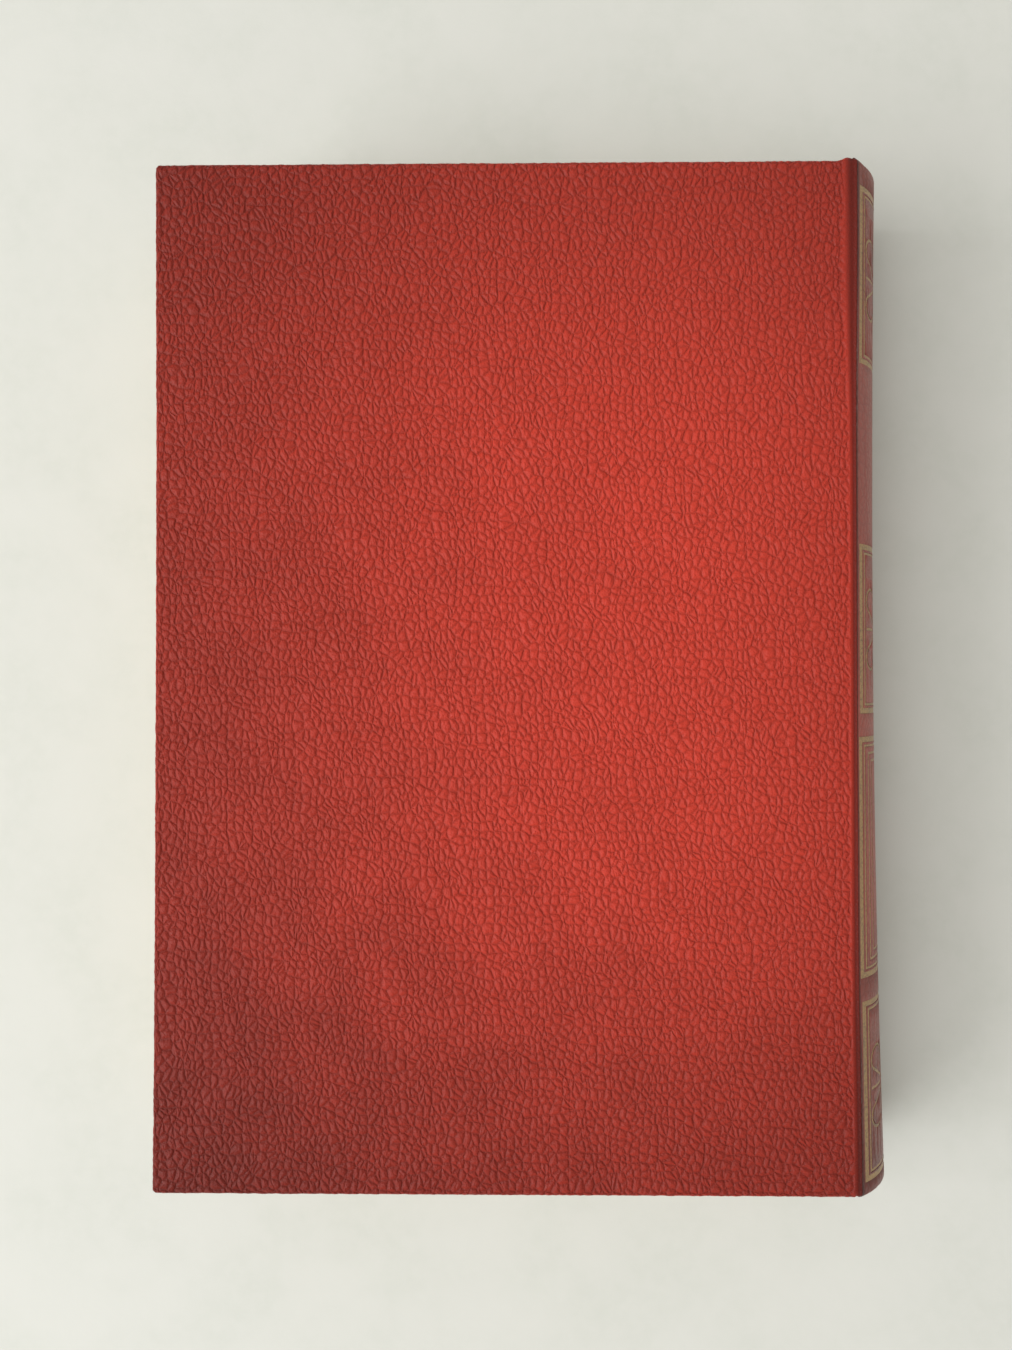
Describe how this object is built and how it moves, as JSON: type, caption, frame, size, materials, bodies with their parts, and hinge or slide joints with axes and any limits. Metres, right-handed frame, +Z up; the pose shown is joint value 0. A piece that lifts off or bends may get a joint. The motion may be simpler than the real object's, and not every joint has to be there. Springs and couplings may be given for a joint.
{
  "type": "leather-bound book",
  "caption": "Closed hardback book in red grained leather with a rounded, gilt-tooled spine and two covers hinged at the joints.",
  "frame": {"origin": "centre of the closed book's footprint, on the surface that it lies on", "axes": "+Y from tail to head, +X from the fore-edge to the spine, +Z up from the front cover to the back cover"},
  "size_m": [0.1509, 0.21, 0.03],
  "materials": {
    "cover_leather": "red goatskin with a raised pebble grain, soft sheen",
    "spine_leather": "the same red goatskin, pared and worked round the back",
    "gilt": "gold leaf tooled into the leather, slightly rubbed",
    "pages": "trimmed book paper, cream, plain edges",
    "endpaper": "plain cream laid paper",
    "kraft": "brown lining paper",
    "millboard": "grey-brown millboard",
    "linen": "woven linen tape",
    "mull": "open cotton cloth, sized",
    "band_silk": "band wound with red and cream silk"
  },
  "bodies": {
    "text_and_spine": {"text_block": "pages", "sewing_tape_1": "linen", "sewing_tape_2": "linen", "sewing_tape_3": "linen", "mull": "mull", "spine_lining": "kraft", "head_band": "band_silk", "tail_band": "band_silk", "front_flyleaf": "endpaper", "back_flyleaf": "endpaper", "spine_stiffener": "kraft", "spine_leather": "spine_leather", "gilt_tooling": "gilt"},
    "back_cover": {"back_board": "millboard", "back_infill": "kraft", "back_pastedown": "endpaper", "back_leather": "cover_leather"},
    "front_cover": {"front_board": "millboard", "front_infill": "kraft", "front_pastedown": "endpaper", "front_leather": "cover_leather"}
  },
  "joints": [
    {"name": "back_cover_hinge", "type": "hinge", "parent": "text_and_spine", "child": "back_cover", "pos_m": [0.06904, 0, 0.02825], "axis": [0, 1, 0], "range_deg": [0, 180]},
    {"name": "front_cover_hinge", "type": "hinge", "parent": "text_and_spine", "child": "front_cover", "pos_m": [0.06904, 0, 0.00175], "axis": [0, -1, 0], "range_deg": [0, 180]}
  ]
}
